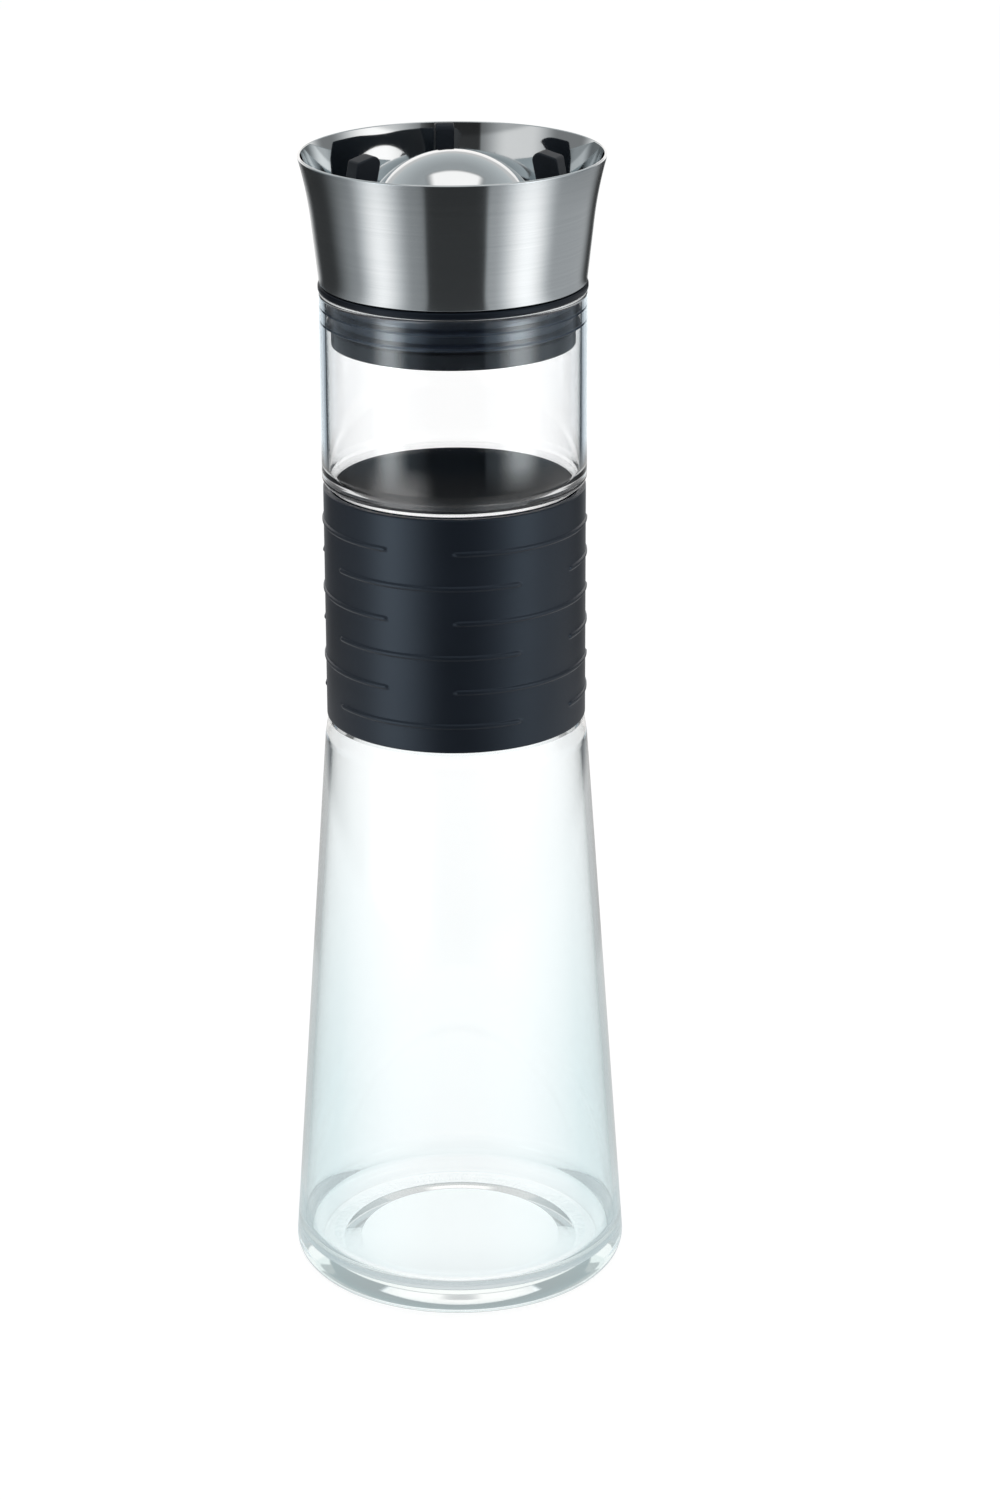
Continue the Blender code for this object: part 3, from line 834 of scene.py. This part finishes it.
def make_collar(brushed, polished):
    foot = Vector((COLLAR_FOOT_RADIUS, collar_base))
    taper_top = foot + Vector((COLLAR_TAPER, 1.0)) * COLLAR_TAPER_HEIGHT
    rim = taper_top + Vector((COLLAR_FLARE_REACH, COLLAR_FLARE_HEIGHT))
    flare = tangent_arc(taper_top, Vector((COLLAR_TAPER, 1.0)), rim, FLARE_TURN)
    outside = [*reversed(flare), taper_top]
    inside = offset_line(outside, -COLLAR_SHEET)
    flange_top = collar_base + COLLAR_SHEET
    inner_foot = inside[-1] + Vector((-COLLAR_TAPER, -1.0)) * (inside[-1].y - flange_top)
    corners = [
        (outside[0].x, outside[0].y, COLLAR_EDGE_FILLET),
        *((point.x, point.y, 0.0) for point in outside[1:]),
        (foot.x, foot.y, COLLAR_EDGE_FILLET),
        (COLLAR_FLANGE_EDGE, collar_base, 0.0),
        (COLLAR_FLANGE_EDGE, flange_top, 0.0),
        (inner_foot.x, inner_foot.y, 0.0),
        *((point.x, point.y, 0.0) for point in reversed(inside[1:])),
        (inside[0].x, inside[0].y, COLLAR_EDGE_FILLET),
    ]
    collar = turned("collar", rounded(corners), [brushed, polished])
    for face in collar.data.polygons:
        outward = face.normal.x * face.center.x + face.normal.y * face.center.y
        face.material_index = 0 if outward > 0 and face.normal.z < UPWARD_FACE else 1
    fit(collar, "pouring_collar", "lid")


def make_core(finish):
    foot_top = core_base + CORE_FOOT
    foot_radius = seal_radius + CORE_FOOT_LEDGE
    under_seat = seat_height - SEAT_THICKNESS
    corners = [
        (throat_radius + SEAT_LAND, seat_height, 0.0),
        (throat_radius + SEAT_LAND + SEAT_RISE, core_shoulder, 0.0),
        (CORE_RADIUS, core_shoulder, CORE_FILLET),
        (CORE_RADIUS, foot_top, 0.0),
        (foot_radius, foot_top, CORE_FILLET),
        (foot_radius, core_base, CORE_FILLET),
        (core_bore, core_base, CORE_FILLET),
        (core_bore, under_seat, CORE_FILLET),
        (throat_radius, under_seat, CORE_FILLET),
        (throat_radius, seat_height, 0.0),
    ]
    core = turned("core", rounded(corners), [finish])
    fit(core, "stopper_core", "lid")


def finger_shape(turn):
    """A bmesh of one finger of the cage: its side view as a plate, with soft edges, turned into place."""
    root = CORE_RADIUS + 2 * FIT_GAP
    outline = rounded([
        (finger_outer, finger_top - FINGER_TAPER_HEIGHT, 0.0),
        (finger_outer - FINGER_TAPER, finger_top - FINGER_TOP_DROP, FINGER_FILLET),
        (finger_inner - NOSE_REACH, finger_top, NOSE_FILLET),
        (finger_inner, finger_top - NOSE_LENGTH, 0.0),
        (finger_inner, deck_top + FINGER_LIFT, 0.0),
        (root, deck_top + FINGER_LIFT, 0.0),
        (root, deck_top - FINGER_ROOT, 0.0),
        (finger_outer, deck_top - FINGER_ROOT, 0.0),
    ])
    shape = bmesh.new()
    near_side = [shape.verts.new((radius, -FINGER_WIDTH / 2, height)) for radius, height in outline]
    grown = bmesh.ops.extrude_face_region(shape, geom=[shape.faces.new(near_side)])["geom"]
    moved = [item for item in grown if isinstance(item, bmesh.types.BMVert)]
    bmesh.ops.translate(shape, verts=moved, vec=(0.0, FINGER_WIDTH, 0.0))
    bmesh.ops.recalc_face_normals(shape, faces=shape.faces[:])
    corners = [edge for edge in shape.edges if edge.calc_face_angle(0.0) > SHARP_ANGLE]
    bmesh.ops.bevel(
        shape,
        geom=corners,
        offset=FINGER_BEVEL,
        segments=BEVEL_SEGMENTS,
        affect="EDGES",
        profile=ROUND_BEVEL,
    )
    bmesh.ops.rotate(shape, verts=shape.verts[:], cent=(0, 0, 0), matrix=Matrix.Rotation(turn, 3, "Z"))
    return shape


def unite(piece, others):
    """Joins other solids to a piece and removes them."""
    for other in others:
        union = piece.modifiers.new("join", "BOOLEAN")
        union.operation = "UNION"
        union.object = other
    bpy.context.view_layer.update()
    graph = bpy.context.evaluated_depsgraph_get()
    mesh = bpy.data.meshes.new_from_object(piece.evaluated_get(graph))
    piece.modifiers.clear()
    piece.data = mesh
    for other in others:
        bpy.data.objects.remove(other)


def make_cage(finish):
    bore = CORE_RADIUS + FIT_GAP
    deck = [
        (deck_radius, deck_top, DECK_EDGE_FILLET),
        (deck_radius, deck_base, DECK_EDGE_FILLET),
        (bore, deck_base, 0.0),
        (bore, deck_top, 0.0),
    ]
    cage = add_piece("cage", turned_shape(rounded(deck)), [finish])
    fingers = []
    for index in range(FINGER_COUNT):
        turn = FINGER_TURN + index * 2 * math.pi / FINGER_COUNT
        fingers.append(add_piece("finger", finger_shape(turn), [finish]))
    unite(cage, fingers)
    cage.data.shade_smooth()
    cage.data.set_sharp_from_angle(angle=SHARP_ANGLE)
    even_shading(cage)
    fit(cage, "guide_cage", "lid")


def make_dome(finish):
    centre = Vector((0.0, dome_centre))
    edge_turn = math.asin((carrier_base - dome_centre) / dome_radius)
    outside = arc(centre, dome_radius, math.pi / 2, edge_turn - math.pi / 2, ARC_TURN)
    inside = arc(centre, dome_radius - DOME_SHEET, edge_turn, math.pi / 2 - edge_turn, ARC_TURN)
    outside[0].x = 0.0
    inside[-1].x = 0.0
    corners = [(point.x, point.y, 0.0) for point in outside[:-1]]
    corners.append((outside[-1].x, outside[-1].y, DOME_EDGE_FILLET))
    corners.append((inside[0].x, inside[0].y, DOME_EDGE_FILLET))
    corners += [(point.x, point.y, 0.0) for point in inside[1:]]
    dome = turned("dome", rounded(corners), [finish])
    fit(dome, "valve_dome", "valve")


def make_carrier(finish):
    carrier_top = carrier_base + CARRIER_THICKNESS
    corners = [
        (0.0, carrier_top, 0.0),
        (plate_radius, carrier_top, GASKET_FILLET),
        (plate_radius, carrier_base, GASKET_FILLET),
        (boss_radius, carrier_base, 0.0),
        (boss_radius, boss_base, CORE_FILLET),
        (boss_radius - BOSS_WALL, boss_base, CORE_FILLET),
        (boss_radius - BOSS_WALL, carrier_base, CORE_FILLET),
        (0.0, carrier_base, 0.0),
    ]
    carrier = turned("carrier", rounded(corners), [finish])
    fit(carrier, "dome_carrier", "valve")


def make_gasket(finish):
    bore = boss_radius + FIT_GAP
    corners = [
        (gasket_radius, gasket_top, GASKET_FILLET),
        (gasket_radius, gasket_base, GASKET_FILLET),
        (bore, gasket_base, 0.0),
        (bore, gasket_top, 0.0),
    ]
    gasket = turned("gasket", rounded(corners), [finish])
    fit(gasket, "valve_gasket", "valve")


def add_camera():
    lens = bpy.data.cameras.new("camera")
    lens.sensor_width = SENSOR
    lens.lens = SENSOR * FOCAL_PIXELS / PICTURE_HEIGHT
    lens.shift_x = (PICTURE_WIDTH / 2 - AXIS_PIXEL) / PICTURE_HEIGHT
    camera = bpy.data.objects.new("camera", lens)
    tilt = Matrix.Rotation(math.pi / 2 - CAMERA_PITCH, 4, "X")
    camera.matrix_world = Matrix.Translation(CAMERA_PLACE) @ tilt @ Matrix.Rotation(CAMERA_ROLL, 4, "Z")
    bpy.context.scene.collection.objects.link(camera)
    bpy.context.scene.camera = camera


def facing_place(azimuth, elevation, distance):
    """Where a lamp or card stands to face the carafe. Azimuth 0 is the camera's side and 90 is +X."""
    turn, rise = math.radians(azimuth), math.radians(elevation)
    way = Vector((math.sin(turn) * math.cos(rise), -math.cos(turn) * math.cos(rise), math.sin(rise)))
    middle = Vector((0.0, 0.0, glass_top / 2))
    facing = (-way).to_track_quat("-Z", "Y").to_matrix().to_4x4()
    return Matrix.Translation(middle + way * distance) @ facing


def add_softbox(name, place, width, height, strength):
    """An area lamp. Strength 1 is as bright as white paper in its own light."""
    lamp = bpy.data.lights.new(name, "AREA")
    lamp.shape = "RECTANGLE"
    lamp.size = width
    lamp.size_y = height
    lamp.energy = strength * math.pi * width * height
    softbox = bpy.data.objects.new(name, lamp)
    softbox.matrix_world = place
    softbox.visible_camera = False
    softbox.visible_glossy = False
    softbox.visible_transmission = False
    bpy.context.scene.collection.objects.link(softbox)


def mirrored_rays(start):
    """1 for the rays that the carafe has mirrored, straight or through glass."""
    glossy = start.add("ShaderNodeLightPath", {}, {}, "Is Glossy Ray")
    return glossy.at_most(glossy.beside("Glossy Depth").above(MIRRORED_DEPTH))


def straight_rays(start):
    """1 for the rays that show the background itself, straight or through glass."""
    camera = start.add("ShaderNodeLightPath", {}, {}, "Is Camera Ray")
    through = camera.beside("Is Transmission Ray") - mirrored_rays(start)
    return camera.at_least(THROUGH_GLASS * through)


def add_world(ambient, low_sky, high_sky):
    """White behind the carafe, and a dimmer sky for it to mirror, from just over the tent to overhead."""
    world = bpy.data.worlds.new("studio")
    bpy.context.scene.world = world
    world.use_nodes = True
    world.node_tree.nodes.clear()
    start = Socket(world.node_tree)
    mirrored = mirrored_rays(start)
    way = start.add("ShaderNodeTexCoord", {}, {}, "Generated")
    rise = start.add("ShaderNodeSeparateXYZ", {}, {0: way}, "Z").between(SKY_FOOT, SKY_CROWN)
    mirrored_sky = low_sky + (high_sky - low_sky) * rise
    light = ambient + (1.0 - ambient) * straight_rays(start) + (mirrored_sky - ambient) * mirrored
    colour = mirrored.tint(WHITE, COOL_SKY)
    sky = start.add("ShaderNodeBackground", {}, {"Color": colour, "Strength": light})
    start.add("ShaderNodeOutputWorld", {}, {"Surface": sky})


def add_floor(own_light, mirrored_light, paint):
    """A pale floor with a light of its own for the camera, and a dimmer one for what mirrors it."""
    finish, start = new_finish("floor")
    paper = start.add("ShaderNodeBsdfDiffuse", {}, {"Color": (paint, paint, paint, 1.0)})
    mirrored = mirrored_rays(start)
    colour = mirrored.tint(WHITE, COOL_FLOOR)
    strength = own_light * straight_rays(start) + mirrored_light * mirrored
    glow = start.add("ShaderNodeEmission", {}, {"Color": colour, "Strength": strength})
    close(start, start.add("ShaderNodeAddShader", {}, {0: paper, 1: glow}))
    shape = bmesh.new()
    bmesh.ops.create_circle(shape, cap_ends=True, segments=FLOOR_SIDES, radius=FLOOR_RADIUS)
    add_piece("floor", shape, [finish])


def hide_from_light(card):
    """Leaves a card of the tent to the rays that the carafe mirrors or bends."""
    card.visible_camera = False
    card.visible_diffuse = False
    card.visible_shadow = False


def card_light(turn, zone):
    """Light by azimuth from a zone's soft cards and the dark flags in front of them."""
    light = 0.0
    for card in zone.cards:
        light = light + card.strength * turn.apart(card.azimuth).soft(card.reach, card.full)
    for flag in zone.flags:
        past = turn.apart(flag.azimuth).between(flag.half_width - FLAG_EDGE, flag.half_width + FLAG_EDGE)
        light = light * past
    return zone.dimmest + light


def add_ring_of_cards(name, profile, zones, shade):
    """A turned surface of pale and dark cards that only mirrored rays see. The first zone is innermost."""
    finish, start = new_finish(name)
    place = place_on(start)
    across = start.add("ShaderNodeSeparateXYZ", {}, {0: place}, "X")
    lit = 1.0 - shade.loss * across.beside("Z").soft(shade.start, shade.end)
    turn = math.degrees(1.0) * start.math("ARCTAN2", across, -1.0 * across.beside("Y"))
    level = place.spread(1.0, 1.0, 0.0)
    away = start.add("ShaderNodeVectorMath", {"operation": "LENGTH"}, {0: level}, "Value")
    light = None
    for zone in zones:
        strength = lit * card_light(turn, zone)
        colour = strength.between(DIM_CARD, BRIGHT_CARD).tint(zone.dim_colour, zone.bright_colour)
        glow = start.add("ShaderNodeVectorMath", {"operation": "SCALE"}, {0: colour, "Scale": strength})
        light = away.between(zone.start, zone.start + ZONE_BLEND).blend(light, glow) if light else glow
    card = start.add("ShaderNodeEmission", {}, {"Color": light})
    clear = start.add("ShaderNodeBsdfTransparent")
    close(start, start.add("ShaderNodeMixShader", {}, {0: mirrored_rays(start), 1: clear, 2: card}))
    shape = bmesh.new()
    rings = []
    for radius, height in profile:
        angles = [2 * math.pi * side / SIDES for side in range(SIDES)]
        rings.append([shape.verts.new((radius * math.cos(a), radius * math.sin(a), height)) for a in angles])
    for upper, lower in zip(rings, rings[1:]):
        for side in range(SIDES):
            after = (side + 1) % SIDES
            shape.faces.new((upper[side], lower[side], lower[after], upper[after]))
    hide_from_light(add_piece(name, shape, [finish]))


def add_card(name, place, width, height, strength):
    """A bright card with soft edges that the lid mirrors."""
    finish, start = new_finish(name)
    across = start.add("ShaderNodeSeparateXYZ", {}, {0: place_on(start)}, "X")
    inside = 1.0
    for way, side in ((across, width / 2), (across.beside("Y"), height / 2)):
        inside = inside * way.size().soft(side, CARD_MIDDLE * side)
    colour = inside.tint(BLACK, WARM_CARD)
    card = start.add("ShaderNodeEmission", {}, {"Color": colour, "Strength": strength})
    clear = start.add("ShaderNodeBsdfTransparent")
    close(start, start.add("ShaderNodeMixShader", {}, {0: inside, 1: clear, 2: card}))
    shape = bmesh.new()
    corners = ((-1, -1), (1, -1), (1, 1), (-1, 1))
    shape.faces.new([shape.verts.new((x * width / 2, y * height / 2, 0.0)) for x, y in corners])
    sheet = add_piece(name, shape, [finish])
    sheet.matrix_world = place
    sheet.visible_transmission = False
    hide_from_light(sheet)


def make_carafe():
    brushed = brushed_steel()
    mirror = polished_steel("polished_steel", low_roughness=0.025, line_share=0.03)
    satin = polished_steel("spun_steel", low_roughness=0.045, line_share=0.05)
    grip = silicone("grip_silicone", GRIP_BLACK, roughness=0.29, gloss=0.5)
    soft_black = silicone("seal_silicone", LIP_BLACK, roughness=0.22, gloss=1.0)
    dull_black = silicone("flange_silicone", FLANGE_BLACK, roughness=0.30, gloss=0.3)
    plastic = moulded_plastic()
    outer_glass = clear_glass("clear_glass", OUTER_ASIDE, OUTER_NECK, OUTER_BODY)
    inner_glass = clear_glass("clear_glass_inside", INNER_ASIDE, INNER_NECK, INNER_BODY)

    make_glass(outer_glass, inner_glass)
    make_sleeve(grip)
    make_seal(soft_black, dull_black)
    make_collar(brushed, mirror)
    make_core(plastic)
    make_cage(plastic)
    make_dome(satin)
    make_carrier(plastic)
    make_gasket(soft_black)


def make_studio():
    add_camera()
    add_world(ambient=0.55, low_sky=0.78, high_sky=0.48)
    add_floor(own_light=0.86, mirrored_light=0.55, paint=0.26)
    key_place = facing_place(azimuth=58.0, elevation=38.0, distance=1.3)
    fill_place = facing_place(azimuth=-62.0, elevation=30.0, distance=1.3)
    top_place = facing_place(azimuth=0.0, elevation=80.0, distance=1.2)
    add_softbox("key_lamp", key_place, width=0.5, height=0.9, strength=1.6)
    add_softbox("fill_lamp", fill_place, width=0.6, height=0.9, strength=1.0)
    add_softbox("top_lamp", top_place, width=0.5, height=0.4, strength=2.2)
    overhead = Matrix.Translation(OVERHEAD_CARD_PLACE)
    add_card("overhead_card", overhead, width=1.27, height=0.89, strength=1.40)
    tent_outline = [
        (TENT_RADIUS, TENT_HEIGHT, 0.0),
        (TENT_RADIUS, TENT_LIFT, TENT_BEND),
        (TENT_HOLE, TENT_LIFT, 0.0),
    ]
    add_ring_of_cards("light_tent", rounded(tent_outline, closed=False), TENT_ZONES, TENT_SHADE)
    collar_outline = [
        (COLLAR_RING_RADIUS, COLLAR_RING_TOP),
        (COLLAR_RING_RADIUS, COLLAR_RING_BOTTOM),
        (COLLAR_APRON_RADIUS, COLLAR_APRON_BOTTOM),
    ]
    add_ring_of_cards("collar_cards", collar_outline, COLLAR_ZONES, COLLAR_SHADE)
    bpy.context.scene.view_settings.view_transform = "Standard"


make_carafe()
make_studio()
